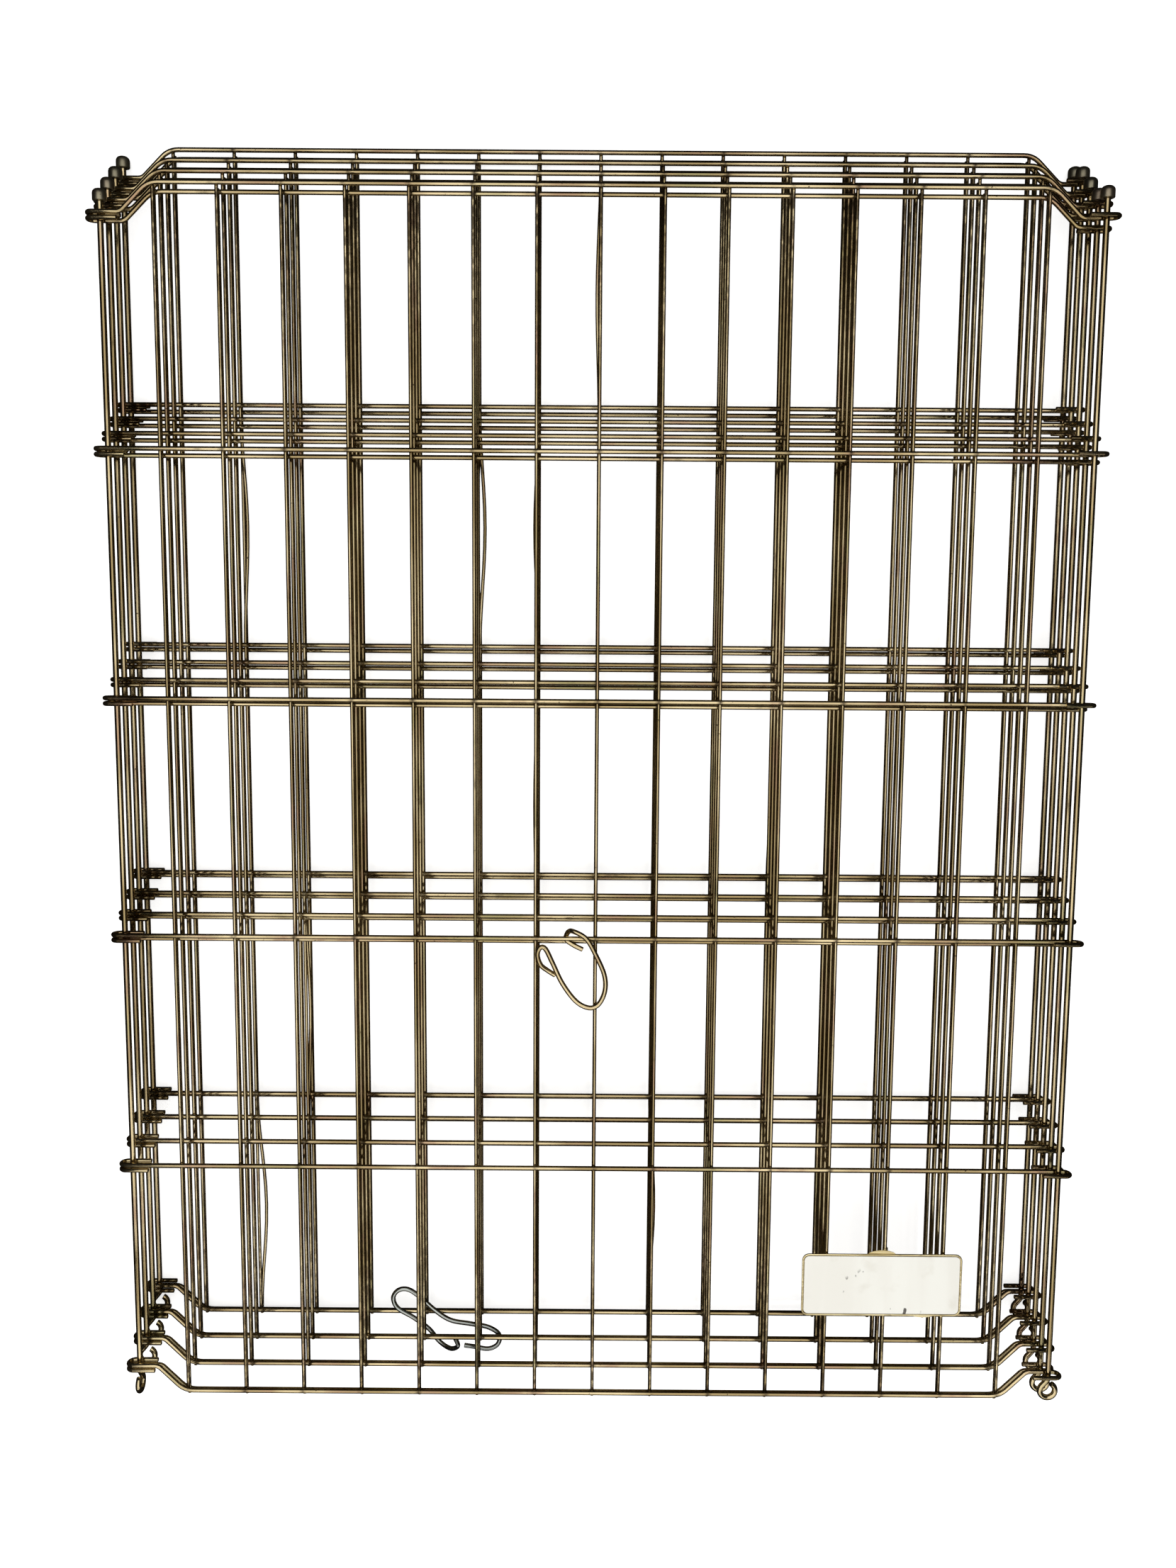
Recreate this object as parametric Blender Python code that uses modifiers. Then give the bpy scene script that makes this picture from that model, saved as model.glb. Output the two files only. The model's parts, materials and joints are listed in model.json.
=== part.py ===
"""Folding wire kennel pen, folded flat and lying on its back: eight hinged wire panels on nine
hinge rods, two closing clips and a label plate.

Metres, +Z up. The pen lies with the panels' width along X and their height along Y (top at +Y).
The origin is at the middle of the folded stack, on the surface it lies on. In the design frame,
before the stack is laid down, the last panel's rails are at z = 0 and panels stack towards +Z.
"""
import math

import bmesh
import bpy
from mathutils import Matrix, Vector

# Panel: a grid of round wire
PANEL_COUNT = 8
RAIL_HEIGHTS = (0.0, 0.1545, 0.3060, 0.4560, 0.6075, 0.7620)  # from the bottom rail's centre
PANEL_HEIGHT = RAIL_HEIGHTS[-1]
ROD_X = 0.29865  # from the panel's middle to each hinge rod
RAIL_RADIUS = 0.0015
UPRIGHT_COUNT = 15
UPRIGHT_PITCH = 0.0381
UPRIGHT_RADIUS = 0.00115
UPRIGHT_OVERHANG = 0.0013  # past the outer rails' centres
WELD_DEPTH = 0.00035  # how far an upright sinks into a rail
END_BEND_X = 0.2686  # where the top and bottom rails turn in at 45 degrees
END_DROP = 0.0170  # how far they turn in before their loops

# Hinge rods, and the hairpin loops that hold them
ROD_RADIUS = 0.0019
RUNNING_GAP = 0.00035
LOOP_OFFSET = ROD_RADIUS + RUNNING_GAP + RAIL_RADIUS  # from a rail's centre to a rod's
LOOP_REACH = 0.0035  # from the rod's centre out to the hairpin's bend centre
LOOP_RETURN = 0.0110  # from the rod's centre back in to the hairpin's tip
CAP_REACH = 0.7397  # from the lowest loop up to the cap, on the left-hand and end rods
LONG_CAP_REACH = 0.7459  # on the right-hand rods that let one pair slide past the next
FOOT_GAP = 0.0008  # from the lowest loop down to the start of the eye
LOW_FOOT_GAP = 0.0045  # the same, where loops swing past the eye as the pen unfolds
LOW_EYES = (3, 4, 5)  # the right-hand rods that need it
EYE_RADIUS = 0.0052  # of the eye's wire centre
EYE_NECK = 0.0033  # straight and bent wire between shank and eye
CAP_RADIUS = 0.0043
CAP_HEIGHT = 0.0073
CAP_BORE_DEPTH = 0.0048
CAP_CHAMFER = 0.0016
FIT_GAP = 0.0003

# The folded stack
PITCH = 2 * LOOP_OFFSET  # between neighbouring panels
PAIR_RISE = 0.0108  # each pair has slid this far up the one in front
EVEN_DROP = 0.0034  # even panels hang one wire lower, so that loops pass each other

# Closing clips
CLIP_RADIUS = 0.0016
CLIP_RAIL = 2  # rail of the first panel that the front clip hangs on, counted from the bottom
REAR_CLIP_PANEL = 6  # the spare clip hangs on this panel's bottom rail
REAR_CLIP_X = -0.0980  # its first hook, from the panel's middle

# Label plate, on the first panel's uprights
LABEL_SIZE = (0.1042, 0.0423)
LABEL_CENTRE = (0.1883, 0.0768)  # from the panel's middle, and up from its bottom rail
LABEL_CORNER = 0.0045
LABEL_TRAY_THICK = 0.0014
LABEL_FLOOR_THICK = 0.0005
LABEL_RIM = 0.0012
CARD_THICK = 0.0005
TAB_THICK = 0.0004
TAB_HEIGHT = 0.0060
TAB_SHOW = (0.0030, 0.0014)  # how far the upper and lower tabs stand out past the plate
TAB_HALF_ANGLE = math.radians(122)

# The stack rests on the last panel's rail ends at the left and its hairpins at the right
LIE_ANGLE = math.asin(2 * LOOP_OFFSET / (2 * ROD_X - LOOP_RETURN + LOOP_REACH))
LIE_LIFT = RAIL_RADIUS * math.cos(LIE_ANGLE) + (ROD_X + LOOP_REACH) * math.sin(LIE_ANGLE)
LIE_SHIFT_X = (PANEL_COUNT - 1) * PITCH * math.sin(LIE_ANGLE) / 2
TOP_Y = PANEL_HEIGHT / 2 + UPRIGHT_OVERHANG + PAIR_RISE * (PANEL_COUNT // 2 - 1)
BOTTOM_Y = -PANEL_HEIGHT / 2 - UPRIGHT_OVERHANG - EVEN_DROP
LIE_DOWN = (
    Matrix.Translation((LIE_SHIFT_X, -(TOP_Y + BOTTOM_Y) / 2, LIE_LIFT))
    @ Matrix.Rotation(-LIE_ANGLE, 4, "Y")
)

GOLD_ZINC = ((0.42, 0.37, 0.20), 0.30)
DARK_ZINC = ((0.20, 0.17, 0.12), 0.40)
BRIGHT_ZINC = ((0.55, 0.55, 0.53), 0.28)
BRASS_SHEET = ((0.62, 0.52, 0.28), 0.35)
WHITE_CARD = ((0.92, 0.92, 0.88), 0.45)

PARTS = bpy.data.collections.new("kennel_cage")
CUTTERS = bpy.data.collections.new("cutters")


# Scene and materials

def start_scene():
    for old in list(bpy.data.objects):
        bpy.data.objects.remove(old)
    for collection in (PARTS, CUTTERS):
        bpy.context.scene.collection.children.link(collection)


def finish(obj, colour, roughness, metallic=1.0):
    """Give a part its own Principled material."""
    material = bpy.data.materials.new(obj.name)
    material.use_nodes = True
    shader = material.node_tree.nodes["Principled BSDF"]
    shader.inputs["Base Color"].default_value = (*colour, 1.0)
    shader.inputs["Roughness"].default_value = roughness
    shader.inputs["Metallic"].default_value = metallic
    obj.data.materials.clear()
    obj.data.materials.append(material)


def add_part(name, mesh, place=Matrix.Identity(4)):
    obj = bpy.data.objects.new(name, mesh)
    obj.matrix_world = place
    PARTS.objects.link(obj)
    return obj


# Wires

def wire_mesh(name, paths, radius, resolution=0):
    """A mesh of round wires, each along one list of points, with welded end caps."""
    curve = bpy.data.curves.new(name, "CURVE")
    curve.dimensions = "3D"
    curve.twist_mode = "MINIMUM"
    curve.bevel_depth = radius
    curve.bevel_resolution = resolution
    curve.use_fill_caps = True
    for path in paths:
        spline = curve.splines.new("POLY")
        spline.points.add(len(path) - 1)
        for point, place in zip(spline.points, path):
            point.co = (*place, 1.0)
    obj = bpy.data.objects.new(name, curve)
    PARTS.objects.link(obj)
    graph = bpy.context.evaluated_depsgraph_get()
    mesh = bpy.data.meshes.new_from_object(obj.evaluated_get(graph))
    bpy.data.objects.remove(obj)
    bm = bmesh.new()
    bm.from_mesh(mesh)
    bmesh.ops.remove_doubles(bm, verts=bm.verts, dist=0.00001)
    bm.to_mesh(mesh)
    bm.free()
    return mesh


def arc(centre, radius, start, end, steps):
    """Points on an arc in the first two axes, angles in degrees."""
    turn = (end - start) / steps
    angles = [math.radians(start + turn * step) for step in range(steps + 1)]
    return [(centre[0] + radius * math.cos(a), centre[1] + radius * math.sin(a)) for a in angles]


def smooth_path(points, steps):
    """A Catmull-Rom curve through hand-set points."""
    points = [Vector(p) for p in points]
    ends = [2 * points[0] - points[1], *points, 2 * points[-1] - points[-2]]
    path = []
    for a, b, c, d in zip(ends, ends[1:], ends[2:], ends[3:]):
        for step in range(steps):
            t = step / steps
            path.append(
                (2 * b + (c - a) * t + (2 * a - 5 * b + 4 * c - d) * t**2
                 + (3 * b - a - 3 * c + d) * t**3) / 2
            )
    return [*path, points[-1]]


# Panels

def rail_y(index):
    """A rail's height from the panel's middle; 0 is the bottom rail."""
    return RAIL_HEIGHTS[index] - PANEL_HEIGHT / 2


def upright_x(index):
    return UPRIGHT_PITCH * (index - (UPRIGHT_COUNT - 1) / 2)


def hairpin(side):
    """One end loop, from the rail outwards, round the rod and back. x, z pairs; side is -1 or 1.
    The right-hand loop turns to the front of the rail and the left-hand one to its back."""
    bend = arc((ROD_X + LOOP_REACH, LOOP_OFFSET), LOOP_OFFSET, -90, 90, 4)
    tip = (ROD_X - LOOP_RETURN, 2 * LOOP_OFFSET)
    return [(side * x, side * z) for x, z in [*bend, tip]]


def rail_path(index):
    y = rail_y(index)
    inward = -math.copysign(END_DROP, y) if index in (0, len(RAIL_HEIGHTS) - 1) else 0.0
    ends = []
    for side in (-1, 1):
        loop = [(x, y + inward, z) for x, z in hairpin(side)]
        if inward:
            loop = [(side * END_BEND_X, y, 0.0), (side * (END_BEND_X + END_DROP), y + inward, 0.0), *loop]
        ends.append(loop)
    return [*reversed(ends[0]), *ends[1]]


def union(name, first, second):
    """The first mesh joined with the second, as one new mesh."""
    body = add_part(name, first)
    tool = bpy.data.objects.new(name + "_tool", second)
    CUTTERS.objects.link(tool)
    join = body.modifiers.new("join", "BOOLEAN")
    join.operation = "UNION"
    join.solver = "EXACT"
    join.object = tool
    graph = bpy.context.evaluated_depsgraph_get()
    mesh = bpy.data.meshes.new_from_object(body.evaluated_get(graph))
    bpy.data.objects.remove(body)
    bpy.data.objects.remove(tool)
    return mesh


def panel_mesh():
    """Rails with hairpin ends, and uprights welded across their backs."""
    rails = wire_mesh("rails", [rail_path(i) for i in range(len(RAIL_HEIGHTS))], RAIL_RADIUS)
    reach = PANEL_HEIGHT / 2 + UPRIGHT_OVERHANG
    back = -(RAIL_RADIUS + UPRIGHT_RADIUS - WELD_DEPTH)
    lines = [
        [(upright_x(i), -reach, back), (upright_x(i), reach, back)] for i in range(UPRIGHT_COUNT)
    ]
    return union("panel", rails, wire_mesh("uprights", lines, UPRIGHT_RADIUS))


def panel_rise(number):
    return PAIR_RISE * ((number - 1) // 2) - (EVEN_DROP if number % 2 == 0 else 0.0)


def panel_z(number):
    return (PANEL_COUNT - number) * PITCH


def panel_place(number):
    """Even panels are the same panel turned over about X."""
    place = Matrix.Translation((0.0, panel_rise(number), panel_z(number)))
    return place if number % 2 else place @ Matrix.Rotation(math.pi, 4, "X")


def add_panels():
    mesh = panel_mesh()
    panels = {}
    for number in range(1, PANEL_COUNT + 1):
        panel = add_part(f"panel_{number}", mesh.copy(), LIE_DOWN @ panel_place(number))
        finish(panel, *GOLD_ZINC)
        panels[number] = panel
    return panels


# Rods

def rod_line(side, order):
    """The panels that a rod hinges, and where it lies. Left rods are numbered 1 to 4 and right
    rods 1 to 5, front to back; the first and last right rods end the pen."""
    if side == "left":
        held = (2 * order - 1, 2 * order)
    else:
        held = tuple(n for n in (2 * order - 2, 2 * order - 1) if 1 <= n <= PANEL_COUNT)
    if order == PANEL_COUNT // 2 + 1:
        z = panel_z(PANEL_COUNT) - LOOP_OFFSET
    elif side == "right":
        z = panel_z(2 * order - 1) + LOOP_OFFSET
    else:
        z = panel_z(2 * order) + LOOP_OFFSET
    return held, (-ROD_X if side == "left" else ROD_X), z


def lowest_loop(held):
    """The underside of the lowest loop on a rod."""
    return min(panel_rise(n) for n in held) - (PANEL_HEIGHT / 2 - END_DROP + RAIL_RADIUS)


def rod_path(foot, high, flat):
    """The shank from its top down, a jog, and an open ring bent from the same wire."""
    ring = arc((0.0, foot - EYE_NECK - EYE_RADIUS), EYE_RADIUS, 130, 424, 11)
    line = [(0.0, high), (0.0, foot + FIT_GAP), *ring]
    return [(x, y, 0.0) if flat else (0.0, y, x) for x, y in line]


def cap_mesh():
    """A cup pressed over the rod's end: chamfered top, blind bore."""
    bore = ROD_RADIUS + FIT_GAP
    profile = [
        (0.0, CAP_HEIGHT),
        (CAP_RADIUS - CAP_CHAMFER, CAP_HEIGHT),
        (CAP_RADIUS, CAP_HEIGHT - CAP_CHAMFER),
        (CAP_RADIUS, 0.0),
        (bore, 0.0),
        (bore, CAP_BORE_DEPTH),
        (0.0, CAP_BORE_DEPTH),
    ]
    mesh = bpy.data.meshes.new("cap")
    mesh.from_pydata([(x, 0.0, z) for x, z in profile], [(i, i + 1) for i in range(6)], [])
    obj = add_part("cap", mesh)
    screw = obj.modifiers.new("turn", "SCREW")
    screw.steps = 8
    screw.render_steps = 8
    screw.use_merge_vertices = True
    screw.merge_threshold = 0.00001
    graph = bpy.context.evaluated_depsgraph_get()
    turned = bpy.data.meshes.new_from_object(obj.evaluated_get(graph))
    bpy.data.objects.remove(obj)
    return turned


def add_rods():
    cap = cap_mesh()
    stand_along_y = Matrix.Rotation(-math.pi / 2, 4, "X")
    rods = {}
    for side, count in (("left", 4), ("right", 5)):
        for order in range(1, count + 1):
            held, x, z = rod_line(side, order)
            low = lowest_loop(held)
            foot = low - (LOW_FOOT_GAP if side == "right" and order in LOW_EYES else FOOT_GAP)
            cap_y = low + (LONG_CAP_REACH if side == "right" and len(held) == 2 else CAP_REACH)
            top = cap_y + CAP_BORE_DEPTH - FIT_GAP
            path = rod_path(foot, top, flat=(side, order) != ("left", 1))
            mesh = wire_mesh("rod", [path], ROD_RADIUS, resolution=1)
            place = Matrix.Translation((x, 0.0, z))
            rod = add_part(f"rod_{side}_{order}", mesh, LIE_DOWN @ place)
            rod_cap = add_part(
                f"rod_cap_{side}_{order}",
                cap.copy(),
                LIE_DOWN @ place @ Matrix.Translation((0.0, cap_y, 0.0)) @ stand_along_y,
            )
            finish(rod, *GOLD_ZINC)
            finish(rod_cap, *DARK_ZINC)
            rods[side, order] = [rod, rod_cap]
    return rods


# Clips: x along the rail, y up the panel and z to the front, from the rail's centre, in mm

FRONT_CLIP = [
    (-8.0, -7.9, -3.6), (-13.9, -5.0, -3.6), (-18.6, -1.0, -3.4), (-17.6, 4.4, -1.6),
    (-14.4, 5.8, 1.6), (-5.7, 0.6, 3.5), (0.6, -10.5, 2.9), (5.8, -23.0, 1.9), (6.2, -33.5, 1.3),
    (2.4, -42.0, 1.2), (-3.6, -44.6, 1.2), (-12.0, -40.4, 1.2), (-20.7, -28.9, 1.3),
    (-27.2, -15.2, 1.4), (-31.6, -6.4, 1.3), (-35.0, -5.8, 1.1), (-36.6, -10.5, 1.0),
    (-34.6, -17.0, 0.4), (-30.0, -21.2, -1.2), (-25.4, -24.4, -2.2),
]
REAR_CLIP = [
    (4.6, 0.6, 3.5), (6.4, -5.2, 3.3), (1.0, -8.6, 0.4), (-7.0, -5.4, -3.2), (-14.0, 3.2, -3.75),
    (-24.6, 11.4, -3.75), (-35.4, 18.2, -3.75), (-38.4, 25.6, -3.75), (-35.0, 31.0, -3.75),
    (-28.4, 31.8, -3.75), (-20.6, 26.8, -3.75), (-10.6, 17.4, -3.75), (0.6, 9.8, -3.75),
    (14.4, 7.2, -3.75), (26.6, 4.8, -3.75), (34.0, -0.2, -3.5), (33.4, -6.2, -1.6),
    (27.0, -8.6, 0.4), (17.6, -6.6, 1.4), (10.6, -5.4, 1.8),
]


def add_clip(name, points, panel, x, y, colour):
    path = smooth_path([[value / 1000 for value in point] for point in points], 2)
    place = Matrix.Translation((x, panel_rise(panel) + y, panel_z(panel)))
    clip = add_part(name, wire_mesh(name, [path], CLIP_RADIUS, resolution=1), LIE_DOWN @ place)
    finish(clip, *colour)
    return clip


# Label plate

def rounded_outline(width, height, corner, steps):
    points = []
    for quarter, (sx, sy) in enumerate(((1, 1), (-1, 1), (-1, -1), (1, -1))):
        centre = (sx * (width / 2 - corner), sy * (height / 2 - corner))
        points += arc(centre, corner, 90 * quarter, 90 * quarter + 90, steps)
    return points


def slab(name, width, height, corner, thick, steps=3):
    """A flat plate with round corners, its underside at z = 0."""
    curve = bpy.data.curves.new(name, "CURVE")
    curve.dimensions = "2D"
    curve.fill_mode = "BOTH"
    curve.extrude = thick / 2
    spline = curve.splines.new("POLY")
    outline = rounded_outline(width, height, corner, steps)
    spline.points.add(len(outline) - 1)
    for point, (x, y) in zip(spline.points, outline):
        point.co = (x, y, 0.0, 1.0)
    spline.use_cyclic_u = True
    obj = bpy.data.objects.new(name, curve)
    PARTS.objects.link(obj)
    graph = bpy.context.evaluated_depsgraph_get()
    mesh = bpy.data.meshes.new_from_object(obj.evaluated_get(graph))
    bpy.data.objects.remove(obj)
    mesh.transform(Matrix.Translation((0.0, 0.0, thick / 2)))
    bm = bmesh.new()
    bm.from_mesh(mesh)
    bmesh.ops.remove_doubles(bm, verts=bm.verts, dist=0.00001)
    bmesh.ops.recalc_face_normals(bm, faces=bm.faces)
    bm.to_mesh(mesh)
    bm.free()
    return mesh


def tab_mesh():
    """A strip of sheet bent round an upright, open at the back."""
    inner = UPRIGHT_RADIUS + FIT_GAP
    steps = 8
    angles = [-TAB_HALF_ANGLE + 2 * TAB_HALF_ANGLE * step / steps for step in range(steps + 1)]
    bm = bmesh.new()
    rows = [
        [bm.verts.new((inner * math.sin(a), y, inner * math.cos(a))) for a in angles]
        for y in (-TAB_HEIGHT / 2, TAB_HEIGHT / 2)
    ]
    for low_a, low_b, high_b, high_a in zip(rows[0], rows[0][1:], rows[1][1:], rows[1]):
        bm.faces.new((low_a, low_b, high_b, high_a))
    mesh = bpy.data.meshes.new("tab")
    bm.to_mesh(mesh)
    bm.free()
    return mesh


def add_label():
    """A tray with a raised rim, the blank card in it, and two tabs that grip the uprights."""
    upright_z = -(RAIL_RADIUS + UPRIGHT_RADIUS - WELD_DEPTH)
    tray_z = upright_z + UPRIGHT_RADIUS + FIT_GAP + TAB_THICK + FIT_GAP
    centre_x, up = LABEL_CENTRE
    centre_y = up - PANEL_HEIGHT / 2
    place = LIE_DOWN @ panel_place(1)
    on_panel = place @ Matrix.Translation((centre_x, centre_y, tray_z))
    width, height = LABEL_SIZE
    tray = add_part("label_plate", slab("tray", width, height, LABEL_CORNER, LABEL_TRAY_THICK), on_panel)
    recess = bpy.data.objects.new(
        "label_recess",
        slab(
            "recess",
            width - 2 * LABEL_RIM,
            height - 2 * LABEL_RIM,
            LABEL_CORNER - LABEL_RIM,
            LABEL_TRAY_THICK,
        ),
    )
    recess.matrix_world = on_panel @ Matrix.Translation((0.0, 0.0, LABEL_FLOOR_THICK))
    recess.hide_render = True
    recess.display_type = "WIRE"
    CUTTERS.objects.link(recess)
    cut = tray.modifiers.new("recess", "BOOLEAN")
    cut.operation = "DIFFERENCE"
    cut.solver = "EXACT"
    cut.object = recess
    inset = 2 * (LABEL_RIM + FIT_GAP)
    card = add_part(
        "label_card",
        slab("card", width - inset, height - inset, LABEL_CORNER - LABEL_RIM - FIT_GAP, CARD_THICK),
        on_panel @ Matrix.Translation((0.0, 0.0, LABEL_FLOOR_THICK + FIT_GAP)),
    )
    finish(tray, *BRASS_SHEET)
    finish(card, *WHITE_CARD, metallic=0.0)
    label = [tray, card]
    reach = (height - TAB_HEIGHT) / 2
    spots = (("upper", 12, reach + TAB_SHOW[0]), ("lower", 13, -reach - TAB_SHOW[1]))
    for word, index, y in spots:
        spot = place @ Matrix.Translation((upright_x(index), centre_y + y, upright_z))
        tab = add_part(f"label_tab_{word}", tab_mesh(), spot)
        skin = tab.modifiers.new("sheet", "SOLIDIFY")
        skin.thickness = TAB_THICK
        skin.offset = 1.0
        finish(tab, *BRASS_SHEET)
        label.append(tab)
    return label


# Joints: an empty on each axis, parented in the order that the pen unfolds

def add_pivot(name, place, parent):
    pivot = bpy.data.objects.new(name, None)
    pivot.empty_display_size = 0.03
    PARTS.objects.link(pivot)
    pivot.matrix_world = place
    if parent:
        hang(pivot, parent)
    return pivot


def hang(obj, parent):
    """Parent an object and leave it where it is."""
    bpy.context.view_layer.update()
    obj.parent = parent
    obj.matrix_parent_inverse = parent.matrix_world.inverted()


def rod_axis(side, order):
    _, x, z = rod_line(side, order)
    return LIE_DOWN @ Matrix.Translation((x, 0.0, z))


def join_up(panels, rods, front_clip, rear_clip, label):
    """The last panel carries all the others. Each odd panel turns on a left-hand rod held by the
    panel behind it. Each other even panel turns on a right-hand rod, and that rod slides in the
    loops of the odd panel behind it."""
    carrier = add_pivot("pivot_panel_8", LIE_DOWN, None)
    pivots = {PANEL_COUNT: carrier}
    hang(panels[PANEL_COUNT], carrier)
    for number in range(PANEL_COUNT - 1, 0, -1):
        side, order = ("left", (number + 1) // 2) if number % 2 else ("right", number // 2 + 1)
        axis = rod_axis(side, order)
        rod_pivot = add_pivot(f"pivot_rod_{side}_{order}", axis, pivots[number + 1])
        for piece in rods[side, order]:
            hang(piece, rod_pivot)
        turned_by = pivots[number + 1] if side == "left" else rod_pivot
        pivots[number] = add_pivot(f"pivot_panel_{number}", axis, turned_by)
        hang(panels[number], pivots[number])
    for order, carrier in ((1, pivots[1]), (5, pivots[PANEL_COUNT])):
        end_pivot = add_pivot(f"pivot_rod_right_{order}", rod_axis("right", order), carrier)
        for piece in rods["right", order]:
            hang(piece, end_pivot)
    front_pivot = add_pivot("pivot_closing_clip", front_clip.matrix_world, pivots[1])
    hang(front_clip, front_pivot)
    rear_pivot = add_pivot("pivot_spare_clip", rear_clip.matrix_world, pivots[REAR_CLIP_PANEL])
    hang(rear_clip, rear_pivot)
    for piece in label:
        hang(piece, pivots[1])


def main():
    start_scene()
    panels = add_panels()
    rods = add_rods()
    front_clip = add_clip("closing_clip", FRONT_CLIP, 1, 0.0, rail_y(CLIP_RAIL), GOLD_ZINC)
    rear_clip = add_clip(
        "spare_clip", REAR_CLIP, REAR_CLIP_PANEL, REAR_CLIP_X, rail_y(0), BRIGHT_ZINC
    )
    label = add_label()
    join_up(panels, rods, front_clip, rear_clip, label)


main()
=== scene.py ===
"""The finished look of the folding wire kennel pen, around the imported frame.

Sizes are in metres. Panel coordinates run x along the rails, y up the panel and z to the front.
"""
import json
import math

import bmesh
import bpy
from mathutils import Matrix, Vector


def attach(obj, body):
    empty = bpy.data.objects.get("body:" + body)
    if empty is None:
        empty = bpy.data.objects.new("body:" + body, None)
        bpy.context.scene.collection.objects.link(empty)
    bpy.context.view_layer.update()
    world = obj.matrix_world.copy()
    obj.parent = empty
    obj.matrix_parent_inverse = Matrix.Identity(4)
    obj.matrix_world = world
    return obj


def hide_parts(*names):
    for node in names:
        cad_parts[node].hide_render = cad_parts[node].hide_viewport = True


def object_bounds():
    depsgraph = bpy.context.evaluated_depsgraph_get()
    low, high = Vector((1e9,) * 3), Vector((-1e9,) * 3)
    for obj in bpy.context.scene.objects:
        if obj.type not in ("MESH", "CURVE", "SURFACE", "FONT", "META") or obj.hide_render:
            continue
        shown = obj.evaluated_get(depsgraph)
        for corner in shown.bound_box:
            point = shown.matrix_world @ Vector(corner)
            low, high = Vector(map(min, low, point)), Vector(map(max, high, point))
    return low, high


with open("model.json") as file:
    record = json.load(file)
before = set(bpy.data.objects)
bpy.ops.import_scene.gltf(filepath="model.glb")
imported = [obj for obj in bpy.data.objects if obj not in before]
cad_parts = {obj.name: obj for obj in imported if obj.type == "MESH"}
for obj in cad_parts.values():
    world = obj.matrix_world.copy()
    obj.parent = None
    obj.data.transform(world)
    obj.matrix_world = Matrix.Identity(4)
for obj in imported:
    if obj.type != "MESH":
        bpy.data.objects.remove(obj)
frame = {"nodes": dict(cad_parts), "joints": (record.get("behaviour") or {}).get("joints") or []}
CAD_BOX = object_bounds()
JOINTS = {joint["name"]: joint for joint in frame["joints"]}

# Panel grid
PANEL_COUNT = 8
RAIL_HEIGHTS = (0.0, 0.1545, 0.3060, 0.4560, 0.6075, 0.7620)
PANEL_HEIGHT = RAIL_HEIGHTS[-1]
ROD_X = 0.29865
RAIL_RADIUS = 0.0015
UPRIGHT_COUNT = 15
UPRIGHT_PITCH = 0.0381
UPRIGHT_RADIUS = 0.00115
UPRIGHT_OVERHANG = 0.0013
WELD_DEPTH = 0.00035
UPRIGHT_Z = -(RAIL_RADIUS + UPRIGHT_RADIUS - WELD_DEPTH)
END_BEND_X = 0.2686
END_DROP = 0.0170
BEND_TANGENT = 0.0060  # from a bend's corner to where its curve starts
LOOP_TANGENT = 0.0025  # the same, at the bend next to a loop
WELD_REACH = 0.0028  # how far a weld's heat stain runs
WELD_NUGGET = (UPRIGHT_RADIUS * 1.42, RAIL_RADIUS * 0.97, 0.00075)  # half sizes

# Hinge rods and loops
ROD_RADIUS = 0.0019
LOOP_OFFSET = 0.00375
LOOP_REACH = 0.0035
LOOP_RETURN = 0.0110
CAP_REACH = 0.7397
LONG_CAP_REACH = 0.7459
FOOT_GAP = 0.0008
LOW_FOOT_GAP = 0.0045
LOW_EYES = (3, 4, 5)
EYE_RADIUS = 0.0050
EYE_NECK = 0.0033
EYE_START = math.radians(130)
EYE_END = math.radians(424)
CAP_BORE_DEPTH = 0.0048
LEFT_RODS = 4
RIGHT_RODS = 5
FIT_GAP = 0.0003

# Folded stack
PITCH = 2 * LOOP_OFFSET
PAIR_RISE = 0.0108
EVEN_DROP = 0.0034

# Clips
CLIP_RADIUS = 0.0016
CLIP_RAIL = 2
REAR_CLIP_X = -0.0980

# Label
LABEL_SIZE = (0.1042, 0.0423)
LABEL_CENTRE = (0.1883, 0.0768)
LABEL_CORNER = 0.0045
LABEL_FLOOR = 0.0005
LABEL_RIM = 0.0012
TAB_THICK = 0.0004
LIPS = (  # left end, right end, long edge (+1 the upper), and how far it bulges outwards
    (-0.0093, 0.0087, 1, 0.0024),
    (0.0207, 0.0347, -1, 0.0012),
)

# Camera, in the stack's own space
CAMERA_PLACE = (-0.0054, 0.1283, 0.9027)
CAMERA_TILT = math.radians(-7.02)
CAMERA_ROLL = math.radians(0.4)
CAMERA_LENS = 31.54

# Stage and lights
FLOOR_SIZE = 24.0
FLOOR_SEEN = (0.93, 0.93, 0.93)
FLOOR_MIRRORED = (0.008, 0.006, 0.004)
FLOOR_GLOW = 0.62
ROOM_SEEN = 0.42
ROOM_MIRRORED = 0.015
HORIZON_LIFT = 0.58
LAMP_COLOUR = (1.0, 0.98, 0.94)

WIRE_BEVEL = 4  # bevel resolution: 12 sides
CHAMFER = 0.18  # of the wire's radius
CHAMFER_END = 0.84  # radius at a cut end, of the wire's
SHARP_ANGLE = math.radians(40)
MM = 0.001


def rail_y(index):
    return RAIL_HEIGHTS[index] - PANEL_HEIGHT / 2


def upright_x(index):
    return UPRIGHT_PITCH * (index - (UPRIGHT_COUNT - 1) / 2)


def panel_rise(number):
    return PAIR_RISE * ((number - 1) // 2) - (EVEN_DROP if number % 2 == 0 else 0.0)


def panel_z(number):
    return (PANEL_COUNT - number) * PITCH


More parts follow.
